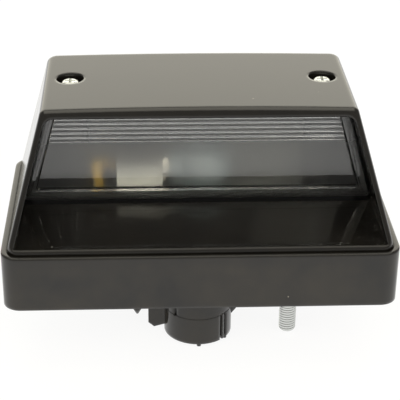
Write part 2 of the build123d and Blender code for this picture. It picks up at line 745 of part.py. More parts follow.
# Lampholder: plate with a cup on a web, open to the right
with BuildPart() as lampholder:
    with BuildSketch(Plane.XY.offset(plate_z)) as plate_plan:
        with Locations(((PLATE_LEFT + PLATE_RIGHT) / 2, (plate_front + plate_back) / 2)):
            RectangleRounded(PLATE_RIGHT - PLATE_LEFT, plate_back - plate_front, PLATE_CORNER)
    extrude(amount=PLATE_T)
    with BuildSketch(Plane.YZ.offset(CUP_LEFT)) as cup_side:
        with Locations((bulb_y, bulb_z)):
            Circle(CUP_R)
        with Locations((bulb_y, (plate_top + bulb_z) / 2)):
            Rectangle(CUP_WEB, bulb_z - plate_top)
    extrude(amount=CUP_RIGHT - CUP_LEFT)
    with BuildSketch(Plane.YZ.offset(CUP_LEFT + CUP_END_T)) as cup_bore:
        with Locations((bulb_y, bulb_z)):
            Circle(CUP_BORE_R)
    extrude(amount=CUP_RIGHT - CUP_LEFT, mode=Mode.SUBTRACT)
    with BuildSketch(Plane.YZ.offset(CUP_LEFT)) as cup_eye:
        with Locations((bulb_y, bulb_z)):
            Circle(FOOT_EYE_D / 2)
    extrude(amount=CUP_END_T, mode=Mode.SUBTRACT)
    with BuildSketch(Plane.XY.offset(plate_z)) as plate_holes:
        with Locations(*post_spots):
            Circle(TAPPING_D / 2 + FIT)
        with Locations((rivet_x, rivet_y)):
            Circle(RIVET_D / 2 + SLIDE)
    extrude(amount=PLATE_T, mode=Mode.SUBTRACT)
lampholder.part.label = "lampholder"
export_step(lampholder.part, "parts/lampholder.step")

# Screws of the lampholder
with BuildPart() as holder_screws:
    with BuildSketch(Plane.XY.offset(plate_top)) as tapping_head_plan:
        with Locations(*post_spots):
            Circle(TAPPING_HEAD_D / 2)
    extrude(amount=TAPPING_HEAD_H)
    fillet(holder_screws.edges().group_by(Axis.Z)[-1], TAPPING_HEAD_H * HEAD_ROUND)
    with BuildSketch(Plane.XY.offset(plate_top)) as tapping_shank_plan:
        with Locations(*post_spots):
            Circle(TAPPING_D / 2)
    extrude(amount=-TAPPING_L)
holder_screws.part.label = "holder_screws"
export_step(holder_screws.part, "parts/holder_screws.step")

# Sleeve with bayonet slots and a solder tab
with BuildPart() as holder_sleeve:
    with BuildSketch(Plane.YZ.offset(CUP_LEFT + CUP_END_T)) as sleeve_side:
        with Locations((bulb_y, bulb_z)):
            Circle(CUP_BORE_R - SLIDE)
            Circle(CUP_BORE_R - SLIDE - SLEEVE_T, mode=Mode.SUBTRACT)
    extrude(amount=SLEEVE_RIGHT - CUP_LEFT - CUP_END_T)
    with BuildSketch(Plane.XY.offset(bulb_z)) as slot_plan:
        slot_half = BAYONET_D / 2 + FIT
        with Locations(((BAYONET_X - slot_half + SLEEVE_RIGHT) / 2, bulb_y)):
            Rectangle(SLEEVE_RIGHT - BAYONET_X + slot_half, 4 * CUP_R)
    extrude(amount=slot_half, both=True, mode=Mode.SUBTRACT)
    with BuildSketch(Plane.YZ.offset(SLEEVE_RIGHT - TAB_T)) as tab_side:
        with BuildLine() as tab_line:
            tab_high = bulb_z - CUP_BORE_R + SLIDE + SLEEVE_T / 2
            Polyline(
                (bulb_y - TAB_W / 2, tab_high),
                (bulb_y + TAB_W / 2, tab_high),
                (bulb_y + TAB_W / 2, plate_top + FIT),
                (bulb_y - TAB_W / 2, plate_top + FIT),
                close=True,
            )
        make_face()
    extrude(amount=TAB_T)
holder_sleeve.part.label = "holder_sleeve"
export_step(holder_sleeve.part, "parts/holder_sleeve.step")

# Spring strip to the foot of the bulb: foot, leaning upright with a wing, and tongue bent from one strip
with BuildPart() as centre_contact:
    with BuildSketch(Plane.XZ.offset(-bulb_y - STRIP_W / 2)) as strip_side:
        with BuildLine() as strip_line:
            strip_path = FilletPolyline(
                (STRIP_X + STRIP_FOOT, plate_top + STRIP_T / 2),
                (STRIP_X, plate_top + STRIP_T / 2),
                (STRIP_X - STRIP_LEAN, bulb_z + STRIP_RISE),
                (foot_left - SLIDE - STRIP_T / 2, bulb_z),
                radius=STRIP_BEND,
            )
            offset(strip_path, amount=STRIP_T / 2, side=Side.BOTH)
        make_face()
    extrude(amount=STRIP_W)
    # stiffening wing bent along the front edge of the upright
    with BuildSketch(Plane.XZ.offset(STRIP_W / 2 - bulb_y - STRIP_T)) as wing_side:
        with BuildLine() as wing_line:
            wing_low = strip_top + LEAD_D + FIT
            wing_high = bulb_z + STRIP_RISE - STRIP_BEND
            wing_run = STRIP_LEAN / (bulb_z + STRIP_RISE - plate_top)
            low_x = STRIP_X - wing_run * (wing_low - plate_top)
            high_x = STRIP_X - wing_run * (wing_high - plate_top)
            Polyline(
                (low_x, wing_low),
                (low_x + WING_W, wing_low),
                (high_x + WING_W, wing_high),
                (high_x, wing_high),
                close=True,
            )
        make_face()
    extrude(amount=STRIP_T)
    with BuildSketch(Plane.XY.offset(plate_top)) as strip_hole:
        with Locations((rivet_x, rivet_y)):
            Circle(RIVET_D / 2 + SLIDE)
    extrude(amount=STRIP_T, mode=Mode.SUBTRACT)
centre_contact.part.label = "centre_contact"
export_step(centre_contact.part, "parts/centre_contact.step")

# Rivet of the spring strip
with BuildPart() as contact_rivet:
    with BuildSketch(Plane.XY.offset(strip_top)) as rivet_head_plan:
        with Locations((rivet_x, rivet_y)):
            Circle(RIVET_HEAD_D / 2)
    extrude(amount=RIVET_HEAD_H)
    fillet(contact_rivet.edges().group_by(Axis.Z)[-1], RIVET_HEAD_H * HEAD_ROUND)
    with BuildSketch(Plane.XY.offset(strip_top)) as rivet_shank_plan:
        with Locations((rivet_x, rivet_y)):
            Circle(RIVET_D / 2)
    extrude(amount=-STRIP_T - PLATE_T)
contact_rivet.part.label = "contact_rivet"
export_step(contact_rivet.part, "parts/contact_rivet.step")

# Glass bulb: a thin globe with a neck inside the cap
with BuildPart() as bulb_glass:
    with BuildSketch(Plane.XZ.offset(-bulb_y)) as glass_half:
        with BuildLine() as glass_line:
            neck_x = GLOBE_X - (GLOBE_R ** 2 - NECK_R ** 2) ** 0.5
            inner_r = GLOBE_R - GLASS_T
            inner_neck = NECK_R - GLASS_T
            inner_neck_x = GLOBE_X - (inner_r ** 2 - inner_neck ** 2) ** 0.5
            outer_end = (GLOBE_X + GLOBE_R, bulb_z)
            inner_end = (GLOBE_X + inner_r, bulb_z)
            Line((cap_in, bulb_z + NECK_R), (neck_x, bulb_z + NECK_R))
            ThreePointArc((neck_x, bulb_z + NECK_R), (GLOBE_X, bulb_z + GLOBE_R), outer_end)
            Line(outer_end, inner_end)
            ThreePointArc(inner_end, (GLOBE_X, bulb_z + inner_r), (inner_neck_x, bulb_z + inner_neck))
            Polyline(
                (inner_neck_x, bulb_z + inner_neck),
                (cap_in, bulb_z + inner_neck),
                (cap_in, bulb_z + NECK_R),
            )
        make_face()
    revolve(axis=Axis((0, bulb_y, bulb_z), (1, 0, 0)))
bulb_glass.part.label = "bulb_glass"
export_step(bulb_glass.part, "parts/bulb_glass.step")

# Cap: drawn cup with two bayonet pins and a hole for the glass plug
with BuildPart() as bulb_cap:
    with BuildSketch(Plane.YZ.offset(CAP_LEFT)) as cap_side:
        with Locations((bulb_y, bulb_z)):
            Circle(CAP_R)
    extrude(amount=CAP_RIGHT - CAP_LEFT)
    fillet(bulb_cap.edges().group_by(Axis.X)[0], CAP_ROUND)
    with BuildSketch(Plane.YZ.offset(cap_in)) as cap_bore:
        with Locations((bulb_y, bulb_z)):
            Circle(CAP_R - CAP_T)
    extrude(amount=CAP_RIGHT - CAP_LEFT, mode=Mode.SUBTRACT)
    with BuildSketch(Plane.XZ.offset(-bulb_y)) as bayonet_side:
        with Locations((BAYONET_X, bulb_z)):
            Circle(BAYONET_D / 2)
    extrude(amount=BAYONET_R, both=True)
    with BuildSketch(Plane.YZ.offset(cap_in)) as cap_clear:
        with Locations((bulb_y, bulb_z)):
            Circle(CAP_R - CAP_T)
    extrude(amount=CAP_RIGHT - CAP_LEFT, mode=Mode.SUBTRACT)
bulb_cap.part.label = "bulb_cap"
export_step(bulb_cap.part, "parts/bulb_cap.step")

# Glass plug of the cap
with BuildPart() as bulb_insulator:
    with BuildSketch(Plane.YZ.offset(CAP_LEFT)) as insulator_side:
        with Locations((bulb_y, bulb_z)):
            Circle(PLUG_D / 2)
    extrude(amount=-PLUG_T, taper=PLUG_TAPER)
bulb_insulator.part.label = "bulb_insulator"
export_step(bulb_insulator.part, "parts/bulb_insulator.step")

# Solder contact at the foot
with BuildPart() as bulb_foot:
    with BuildSketch(Plane.YZ.offset(CAP_LEFT - PLUG_T)) as foot_side:
        with Locations((bulb_y, bulb_z)):
            Circle(FOOT_D / 2)
    extrude(amount=-FOOT_T)
    fillet(bulb_foot.edges().group_by(Axis.X)[0], FOOT_T * HEAD_ROUND)
bulb_foot.part.label = "bulb_foot"
export_step(bulb_foot.part, "parts/bulb_foot.step")

# Glass stem with a pinched head
with BuildPart() as bulb_stem:
    flare_r = NECK_R - GLASS_T - SLIDE
    with BuildSketch(Plane.XZ.offset(-bulb_y)) as stem_half:
        with BuildLine() as stem_line:
            Polyline(
                (cap_in, bulb_z),
                (cap_in, bulb_z + flare_r),
                (cap_in + STEM_FLARE_T, bulb_z + flare_r),
                (STEM_TOP - STEM_PINCH_L, bulb_z + STEM_PINCH_R),
                (STEM_TOP - STEM_R / 2, bulb_z + STEM_R),
                (STEM_TOP, bulb_z + STEM_HEAD_R),
                (STEM_TOP, bulb_z),
                close=True,
            )
        make_face()
    revolve(axis=Axis((0, bulb_y, bulb_z), (1, 0, 0)))
bulb_stem.part.label = "bulb_stem"
export_step(bulb_stem.part, "parts/bulb_stem.step")

# Support wires: out of the stem, spread and straight on
with BuildPart() as bulb_supports:
    for side in (-1, 1):
        with BuildLine() as support_line:
            root_y = bulb_y + side * SUPPORT_ROOT_Y
            far_y = bulb_y + side * SUPPORT_Y
            Polyline(
                (STEM_TOP, root_y, bulb_z),
                (STEM_TOP + SUPPORT_OUT, root_y, bulb_z),
                (STEM_TOP + SUPPORT_OUT + SUPPORT_SPREAD, far_y, bulb_z),
                (GLOBE_X + WIRE_D, far_y, bulb_z),
            )
        with BuildSketch(Plane.YZ.offset(STEM_TOP)) as support_section:
            with Locations((root_y, bulb_z)):
                Circle(WIRE_D / 2)
        sweep(path=support_line.wires()[0], transition=Transition.RIGHT)
bulb_supports.part.label = "bulb_supports"
export_step(bulb_supports.part, "parts/bulb_supports.step")

# Filament between the support wires
with BuildPart() as bulb_filament:
    with BuildSketch(Plane.XZ.offset(WIRE_D / 2 + SLIDE / 2 - bulb_y - SUPPORT_Y)) as filament_side:
        with Locations((GLOBE_X, bulb_z)):
            Circle(FILAMENT_D / 2)
    extrude(amount=2 * SUPPORT_Y - WIRE_D - SLIDE)
bulb_filament.part.label = "bulb_filament"
export_step(bulb_filament.part, "parts/bulb_filament.step")

# Reflector: bowed trough through three points of a parabola about the bulb, two tabs on the base's pegs
with BuildPart() as reflector:
    with BuildSketch(Plane.YZ.offset(-MIRROR_HALF)) as mirror_side:
        with BuildLine() as mirror_line:
            front = [(mirror_low_y, mirror_low), (mirror_y, bulb_z), (mirror_high_y, mirror_high)]
            back = [(y + MIRROR_T, z) for y, z in front]
            ThreePointArc(*front)
            Line(front[2], back[2])
            ThreePointArc(*reversed(back))
            Line(back[0], front[0])
        make_face()
    extrude(amount=2 * MIRROR_HALF)
    with BuildSketch(Plane.XY.offset(mirror_low)) as mirror_tabs:
        for x in (-MIRROR_TAB_X, MIRROR_TAB_X):
            tab_back = mirror_peg_y + POST_D / 2
            with Locations((x, (mirror_low_y + MIRROR_T / 2 + tab_back) / 2)):
                Rectangle(MIRROR_TAB_W, tab_back - mirror_low_y - MIRROR_T / 2)
        with Locations(*mirror_spots):
            Circle(MIRROR_PEG_D / 2 + SLIDE, mode=Mode.SUBTRACT)
    extrude(amount=MIRROR_T)
reflector.part.label = "reflector"
export_step(reflector.part, "parts/reflector.step")

# Insulated lead from the left pin to the spring strip
with BuildPart() as lead_live:
    with BuildLine() as live_line:
        live_end_x = STRIP_X + STRIP_FOOT / 2
        live_end_y = bulb_y - STRIP_W / 2 + LEAD_LAP
        live_end_z = strip_top + LEAD_D / 2 + SLIDE
        FilletPolyline(
            (-PIN_X, SOCKET_Y, PIN_TOP + SLIDE),
            (-PIN_X, SOCKET_Y, lead_z),
            (LEAD_TURN_X, LEAD_TURN_Y, lead_z),
            (live_end_x, live_end_y - LEAD_RUN_IN, live_end_z),
            (live_end_x, live_end_y, live_end_z),
            radius=LEAD_BEND,
        )
    with BuildSketch(Plane.XY.offset(PIN_TOP + SLIDE)) as live_section:
        with Locations((-PIN_X, SOCKET_Y)):
            Circle(LEAD_D / 2)
    sweep(path=live_line.wires()[0])
lead_live.part.label = "lead_live"
export_step(lead_live.part, "parts/lead_live.step")

# Insulated lead from the right pin to the solder tab
with BuildPart() as lead_earth:
    with BuildLine() as earth_line:
        earth_end_x = SLEEVE_RIGHT + FIT
        earth_end_y = bulb_y - TAB_W / 2 - SLIDE
        earth_end_z = plate_top + LEAD_D / 2 + 2 * FIT
        FilletPolyline(
            (PIN_X, SOCKET_Y, PIN_TOP + SLIDE),
            (PIN_X, SOCKET_Y, lead_z),
            (earth_end_x, earth_end_y - LEAD_RUN_IN, earth_end_z),
            (earth_end_x, earth_end_y, earth_end_z),
            radius=LEAD_BEND,
        )
    with BuildSketch(Plane.XY.offset(PIN_TOP + SLIDE)) as earth_section:
        with Locations((PIN_X, SOCKET_Y)):
            Circle(LEAD_D / 2)
    sweep(path=earth_line.wires()[0])
lead_earth.part.label = "lead_earth"
export_step(lead_earth.part, "parts/lead_earth.step")
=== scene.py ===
"""Number plate lamp: finishes, bolt threads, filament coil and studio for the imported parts."""

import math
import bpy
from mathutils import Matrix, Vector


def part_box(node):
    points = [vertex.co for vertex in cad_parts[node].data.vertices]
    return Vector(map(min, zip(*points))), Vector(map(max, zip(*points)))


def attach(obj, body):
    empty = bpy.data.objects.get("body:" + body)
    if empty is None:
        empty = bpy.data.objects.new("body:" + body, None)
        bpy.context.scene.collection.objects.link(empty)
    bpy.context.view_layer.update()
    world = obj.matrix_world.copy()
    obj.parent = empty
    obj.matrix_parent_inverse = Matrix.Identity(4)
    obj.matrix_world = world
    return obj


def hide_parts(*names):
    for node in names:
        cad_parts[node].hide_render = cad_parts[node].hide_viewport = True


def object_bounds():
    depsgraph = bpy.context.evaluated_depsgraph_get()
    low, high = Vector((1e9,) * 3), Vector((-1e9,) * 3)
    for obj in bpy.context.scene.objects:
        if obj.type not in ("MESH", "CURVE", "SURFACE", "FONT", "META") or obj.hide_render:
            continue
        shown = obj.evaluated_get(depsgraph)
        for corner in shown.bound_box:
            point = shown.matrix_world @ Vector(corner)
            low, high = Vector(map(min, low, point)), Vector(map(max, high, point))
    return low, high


bl_info = {
    "name": "Number plate lamp",
    "version": (1, 0, 0),
    "blender": (4, 5, 0),
    "location": "View3D > Sidebar > Lamp",
    "description": "Dresses the parts of a number plate lamp and sets up its studio",
    "category": "Object",
}

import bpy
from mathutils import Matrix, Vector

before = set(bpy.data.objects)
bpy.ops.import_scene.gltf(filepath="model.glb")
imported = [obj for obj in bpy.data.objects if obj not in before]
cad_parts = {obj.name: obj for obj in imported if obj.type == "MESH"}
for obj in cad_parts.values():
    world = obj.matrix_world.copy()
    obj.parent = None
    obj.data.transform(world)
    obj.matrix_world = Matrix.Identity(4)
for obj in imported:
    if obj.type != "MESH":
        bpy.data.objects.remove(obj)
CAD_BOX = [list(corner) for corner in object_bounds()]
MM = 0.001

# How finely the bolts and the coil are drawn
BOLT_SIDES = 48
HEAD_SIDES = 6
HEAD_TURN = math.radians(30)
TIP_STEPS = 5
EDGE_STEPS = 3
TOOTH_SIDES = 4
THREAD_STEPS = 32
SPARE_TURNS = 2
WIRE_SIDES = 6
COIL_STEPS = 16
BOLT_SMOOTH = math.radians(30)
COIL_SMOOTH = math.radians(60)
NEAR = 0.001 * MM
MERGE = 0.0001 * MM

# Span that holds nearly all values of a noise
NOISE_LOW = 0.3
NOISE_HIGH = 0.7

# Black plastic: the film of dust, its specks, and the grain of the moulded skin
FILM_PATCH = 14 * MM
FILM_BARE = 0.35
FILM_FULL = 0.65
FILM_LEFT = 0.2
POLISH_PATCH = 9 * MM
SPECK_STEP = 7 * MM
SPECK_CORE = 0.14 * MM
SPECK_RIM = 0.245 * MM
SPECK_COVER = 0.5
# the real grain is about 0.1 mm wide, and is drawn five times as coarse so that it shows
SKIN_GRAIN = 0.5 * MM
SKIN_DEPTH = 0.02 * MM
EDGE_SAMPLES = 8

# Lens: roughness of its polished and its matt faces, and how softly one goes over into the other
FACE_POLISH = 0.02
FLUTE_POLISH = 0.03
GRAIN_LOW = 0.28
GRAIN_HIGH = 0.6
FLUTE_BLEND = 0.1 * MM
SKIN_BLEND = 0.26 * MM

# White plastic and bulb glass
# the next two set the patches and the drift of the painted shade on the lampholder's top
SHADE_PATCH = 4 * MM
SHADE_DRIFT = 3 * MM
GLASS_WAVE = 6 * MM
GLASS_DEPTH = 0.1 * MM

# Share by which the roughness of a plain finish drifts
PLASTIC_DRIFT = 0.2
METAL_DRIFT = 0.3

# Studio
FLOOR_GAP = 0.2 * MM
FLOOR_GLOW = 0.9
PICTURE_WIDTH = 36.0
NEAREST_SEEN = 0.01
FARTHEST_SEEN = 20.0


def linear(hex_code):
    """The linear colour of an sRGB hex value."""
    shares = [int(hex_code[i:i + 2], 16) / 255 for i in (1, 3, 5)]
    flat = [s / 12.92 if s <= 0.04045 else ((s + 0.055) / 1.055) ** 2.4 for s in shares]
    return (*flat, 1.0)


def length(name, about, default_mm):
    """A size that a user may change, written in millimetres and held in metres."""
    return bpy.props.FloatProperty(
        name=name, description=about, default=default_mm * MM, unit="LENGTH", precision=5
    )


def angle(name, about, default):
    """An angle that a user may change, in radians."""
    return bpy.props.FloatProperty(name=name, description=about, default=default, subtype="ANGLE")


def colour(name, about, hex_code):
    """A colour that a user may change, written as sRGB hex and held as linear values."""
    return bpy.props.FloatVectorProperty(
        name=name, description=about, subtype="COLOR", size=4, min=0.0, max=1.0, default=linear(hex_code)
    )


def power(name, about, default):
    """The power of a studio light that a user may change, in watts."""
    return bpy.props.FloatProperty(name=name, description=about, default=default, unit="POWER")


class LampSizes(bpy.types.PropertyGroup):
    """Sizes of the modelled details and of the zones in the finishes."""

    thread_pitch: length("Thread pitch", "Distance between the turns of the bolt's thread", 0.8)
    thread_depth: length("Thread depth", "Depth of the bolt's thread", 0.1)
    stud_width: length("Stud", "Outside diameter of the thread", 5.0)
    stud_tip: length("Stud tip", "Radius of the rounded end of the stud", 1.2)
    stud_neck: length("Stud neck", "Diameter of the plain neck in the floor of the base", 5.3)
    head_flats: length("Bolt head", "Width over the flats of the bolt's head", 8.0)
    head_height: length("Bolt head height", "Height of the bolt's head", 3.5)
    head_edge: length("Bolt head edge", "Bevel round the top of the bolt's head", 0.4)
    lens_lean: angle("Lens lean", "How far the lens leans back", math.radians(6.2))
    lens_skin: length("Lens front", "Depth from the front of the foot to behind the polished face", 2.6)
    lens_foot: length("Lens foot", "Height of the lens's foot under its window", 4.2)
    flute_low: length("Flutes", "Height over the mounting face at which the polished flutes start", 34.7)
    # the next two heights bound the painted shade on the lampholder's top, which stands in for the roof's
    # shadow
    shade_low: length("Shade start", "Height at which the lampholder starts to darken", 21.0)
    shade_high: length("Shade end", "Height from which the lampholder is darkest", 30.0)
    film_low: length("Film height", "Height up to which the film of dust is thickest", 12.0)
    film_high: length("Film end", "Height from which only little of the film is left", 17.0)
    black_edge: length("Black edges", "How far the sharp edges of the black plastic are softened", 1.3)
    coil_wire: length("Coil wire", "Thickness of the filament's wire", 0.12)
    coil_width: length("Coil width", "Outside width of the filament's coil", 0.8)
    coil_pitch: length("Coil pitch", "Distance between the turns of the filament", 0.3)


class LampColours(bpy.types.PropertyGroup):
    """Colours of the finishes."""

    black: colour("Black plastic", "Base colour of the base and the hood", "#0F0E0D")
    film: colour("Dust film", "Colour of the black plastic under a film of dust", "#1F1C17")
    dust: colour("Dust", "Colour of the dust specks", "#B8B4A8")
    clear: colour("Lens", "Tint of the clear lens", "#FCFDFC")
    rubber: colour("Rubber", "Colour of the seals", "#1A1A1A")
    zinc: colour("Zinc", "Colour of the plated steel", "#D3D5D2")
    brass: colour("Brass", "Colour of the bare brass", "#D9A441")
    tarnish: colour("Tarnished brass", "Colour of the spring contact under its yellow tarnish", "#F2C65A")
    nickel: colour("Nickel", "Colour of the plated brass", "#C6C2B8")
    mirror: colour("Reflector", "Colour of the lacquered reflector", "#6E6E6A")
    white: colour("White plastic", "Colour of the lampholder", "#F4F2EA")
    # the lampholder's colour under its painted shade, which stands in for the roof's shadow
    painted_shade: colour("Painted shade", "Colour of the lampholder under its painted shade", "#3E3B36")
    core: colour("Grey plastic", "Colour of the socket's core", "#2A2A2B")
    glass: colour("Bulb glass", "Tint of the pearl glass of the bulb", "#DCE7EC")
    black_glass: colour("Black glass", "Colour of the insulator in the bulb's cap", "#0B0B0C")
    solder: colour("Solder", "Colour of the bulb's foot", "#B4B4B2")
    tungsten: colour("Tungsten", "Colour of the filament and its wires", "#6E6E70")
    red: colour("Red lead", "Colour of the live lead", "#A32020")
    brown: colour("Brown lead", "Colour of the earth lead", "#5A3420")


class StudioSettings(bpy.types.PropertyGroup):
    """Camera, floor and light."""

    camera_x: length("Camera X", "Camera's place along the lamp", -16.4)
    camera_y: length("Camera Y", "Camera's place in front of the lamp", -336.93)
    camera_z: length("Camera Z", "Camera's height over the mounting face", 193.83)
    yaw: angle("Yaw", "Turn of the view about the upright", -0.05106)
    pitch: angle("Pitch", "How far the view looks down", 0.48204)
    roll: angle("Roll", "Tilt of the picture", 0.01107)
    focal_mm: bpy.props.FloatProperty(
        name="Focal length", description="Focal length for a 36 mm wide picture", default=117.0, unit="CAMERA"
    )
    floor_size: length("Floor size", "Side of the square floor", 20000.0)
    floor: colour("Floor", "Colour of the pale floor", "#F4F4F2")
    sky: bpy.props.FloatProperty(
        name="Room light", description="Strength of the even light of the room", default=0.3
    )
    sky_tint: colour("Room tint", "Tint of the even light of the room", "#FFFDF8")
    light_tint: colour("Light tint", "Tint of the panels and boxes", "#FFFAE9")
    wall_light: power("Back wall", "Power of the lit wall behind the lamp", 14.5)
    top_light: power("Top panel", "Power of the panel over the lamp", 9.0)
    side_light: power("Side boxes", "Power of each of the two boxes in front", 20.0)


def add_node(tree, kind, inputs=None, **settings):
    """Adds a node. Plain inputs are set on its sockets, and sockets given as inputs are linked to it."""
    made = tree.nodes.new(kind)
    for name, value in settings.items():
        setattr(made, name, value)
    for name, value in (inputs or {}).items():
        if isinstance(value, bpy.types.NodeSocket):
            tree.links.new(value, made.inputs[name])
        else:
            made.inputs[name].default_value = value
    return made


def new_material(name):
    """A node material with only its output, its Principled shader and its Object coordinates."""
    material = bpy.data.materials.new(name)
    material.use_nodes = True
    tree = material.node_tree
    tree.nodes.clear()
    shader = add_node(tree, "ShaderNodeBsdfPrincipled")
    add_node(tree, "ShaderNodeOutputMaterial", {"Surface": shader.outputs["BSDF"]})
    place = add_node(tree, "ShaderNodeTexCoord").outputs["Object"]
    return material, tree, shader, place


def set_sockets(shader, values):
    """Sets plain values on the shader's own sockets."""
    for name, value in values.items():
        shader.inputs[name].default_value = value


def drift_gloss(tree, shader, place, patch, detail, smooth, rough):
    """Lets the gloss drift between two roughnesses, in patches of a given width."""
    cloud = add_node(
        tree, "ShaderNodeTexNoise", {"Vector": place, "Scale": 1 / patch, "Detail": detail}
    )
    gloss = add_node(
        tree, "ShaderNodeMapRange",
        {"Value": cloud.outputs["Fac"], "From Min": NOISE_LOW, "From Max": NOISE_HIGH,
         "To Min": smooth, "To Max": rough},
    )
    tree.links.new(gloss.outputs["Result"], shader.inputs["Roughness"])


def black_abs(colours, sizes):
    """Moulded black ABS: a clear gloss from a polished tool, dulled low down by a film of dust and specks."""
    material, tree, shader, place = new_material("black_abs_moulded")
    set_sockets(shader, {"IOR": 1.52})
    film = add_node(
        tree, "ShaderNodeTexNoise",
        {"Vector": place, "Scale": 1 / FILM_PATCH, "Detail": 5.0, "Roughness": 0.6},
    )
    height = add_node(tree, "ShaderNodeSeparateXYZ", {"Vector": place})
    most = add_node(
        tree, "ShaderNodeMapRange",
        {"Value": height.outputs["Z"], "From Min": sizes.film_low, "From Max": sizes.film_high,
         "To Min": 1.0, "To Max": FILM_LEFT},
    )
    thick = add_node(
        tree, "ShaderNodeMapRange",
        {"Value": film.outputs["Fac"], "From Min": FILM_BARE, "From Max": FILM_FULL,
         "To Max": most.outputs["Result"]},
    )
    tone = add_node(
        tree, "ShaderNodeMix",
        {"Factor": thick.outputs["Result"], 6: colours.black, 7: colours.film}, data_type="RGBA",
    )
    # dust specks of 0.3 to 0.5 mm, one here and there
    grit = add_node(tree, "ShaderNodeTexVoronoi", {"Vector": place, "Scale": 1 / SPECK_STEP})
    speck = add_node(
        tree, "ShaderNodeMapRange",
        {"Value": grit.outputs["Distance"], "From Min": SPECK_CORE / SPECK_STEP,
         "From Max": SPECK_RIM / SPECK_STEP, "To Min": SPECK_COVER, "To Max": 0.0},
    )
    dusted = add_node(
        tree, "ShaderNodeMix",
        {"Factor": speck.outputs["Result"], 6: tone.outputs[2], 7: colours.dust}, data_type="RGBA",
    )
    tree.links.new(dusted.outputs[2], shader.inputs["Base Color"])
    drift_gloss(tree, shader, place, POLISH_PATCH, detail=3.0, smooth=0.06, rough=0.11)
    # a fine skin over edges that the tool leaves a little round
    grain = add_node(
        tree, "ShaderNodeTexNoise", {"Vector": place, "Scale": 1 / SKIN_GRAIN, "Detail": 2.0}
    )
    soft = add_node(tree, "ShaderNodeBevel", {"Radius": sizes.black_edge}, samples=EDGE_SAMPLES)
    bump = add_node(
        tree, "ShaderNodeBump",
        {"Height": grain.outputs["Fac"], "Strength": 0.02, "Distance": SKIN_DEPTH,
         "Normal": soft.outputs["Normal"]},
    )
    tree.links.new(bump.outputs["Normal"], shader.inputs["Normal"])
    return material


def clear_acrylic(colours, sizes):
    """Clear moulded acrylic: hard coated and polished in front, matt behind, where it blurs the inside."""
    material, tree, shader, place = new_material("clear_acrylic_moulded")
    set_sockets(shader, {
        "IOR": 1.49, "Base Color": colours.clear, "Transmission Weight": 1.0,
        "Coat Weight": 0.7, "Coat Roughness": 0.02, "Coat IOR": 1.5,
    })
    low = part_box("lens")[0]
    across = Vector((0.0, math.cos(sizes.lens_lean), -math.sin(sizes.lens_lean)))
    skin = across.dot(Vector((0.0, low.y, low.z))) + sizes.lens_skin
    depth = add_node(tree, "ShaderNodeVectorMath", {0: place, 1: across}, operation="DOT_PRODUCT")
    height = add_node(tree, "ShaderNodeSeparateXYZ", {"Vector": place})
    # the grain behind gets coarser from the foot up to the flutes, which are polished
    grain = add_node(
        tree, "ShaderNodeMapRange",
        {"Value": height.outputs["Z"], "From Min": low.z + sizes.lens_foot, "From Max": sizes.flute_low,
         "To Min": GRAIN_LOW, "To Max": GRAIN_HIGH},
    )
    fluted = add_node(
        tree, "ShaderNodeMapRange",
        {"Value": height.outputs["Z"], "From Min": sizes.flute_low - FLUTE_BLEND,
         "From Max": sizes.flute_low, "To Min": grain.outputs["Result"], "To Max": FLUTE_POLISH},
    )
    matt = add_node(
        tree, "ShaderNodeMapRange",
        {"Value": depth.outputs["Value"], "From Min": skin, "From Max": skin + SKIN_BLEND,
         "To Min": FACE_POLISH, "To Max": fluted.outputs["Result"]},
    )
    tree.links.new(matt.outputs["Result"], shader.inputs["Roughness"])
    return material


def white_pbt(colours, sizes):
    """Moulded white PBT: satin and creamy, with painted shade that darkens it towards its top, where the roof
    would shade it.
    """
    material, tree, shader, place = new_material("white_pbt_moulded")
    set_sockets(shader, {"IOR": 1.55, "Roughness": 0.4})
    height = add_node(tree, "ShaderNodeSeparateXYZ", {"Vector": place})
    mottle = add_node(
        tree, "ShaderNodeTexNoise", {"Vector": place, "Scale": 1 / SHADE_PATCH, "Detail": 3.0}
    )
    uneven = add_node(
        tree, "ShaderNodeMath", {0: mottle.outputs["Fac"], 1: SHADE_DRIFT, 2: height.outputs["Z"]},
        operation="MULTIPLY_ADD",
    )
    # painted shade: the lampholder darkens towards its top, where the roof would cast its shadow
    shade_mask = add_node(
        tree, "ShaderNodeMapRange",
        {"Value": uneven.outputs[0], "From Min": sizes.shade_low, "From Max": sizes.shade_high},
        interpolation_type="SMOOTHSTEP",
    )
    tone = add_node(
        tree, "ShaderNodeMix",
        {"Factor": shade_mask.outputs["Result"], 6: colours.white, 7: colours.painted_shade}, data_type="RGBA",
    )
    tree.links.new(tone.outputs[2], shader.inputs["Base Color"])
    return material


def pearl_glass(colours):
    """Blown glass etched to a pearl: it glows softly where light falls on it, with slow waves in its wall."""
    material, tree, shader, place = new_material("bulb_glass_pearl")
    set_sockets(shader, {
        "IOR": 1.5, "Base Color": colours.glass, "Transmission Weight": 0.8, "Roughness": 0.35,
    })
    wave = add_node(
        tree, "ShaderNodeTexNoise", {"Vector": place, "Scale": 1 / GLASS_WAVE, "Detail": 1.0}
    )
    bump = add_node(
        tree, "ShaderNodeBump",
        {"Height": wave.outputs["Fac"], "Strength": 0.05, "Distance": GLASS_DEPTH},
    )
    tree.links.new(bump.outputs["Normal"], shader.inputs["Normal"])
    return material


def plain_plastic(name, tone, rough, ior, patch_mm):
    """A plastic, rubber, lacquer or pressed glass of one colour, whose gloss drifts a little."""
    material, tree, shader, place = new_material(name)
    set_sockets(shader, {"IOR": ior, "Base Color": tone})
    drift_gloss(tree, shader, place, patch_mm * MM, detail=2.0,
                smooth=rough * (1 - PLASTIC_DRIFT), rough=rough * (1 + PLASTIC_DRIFT))
    return material


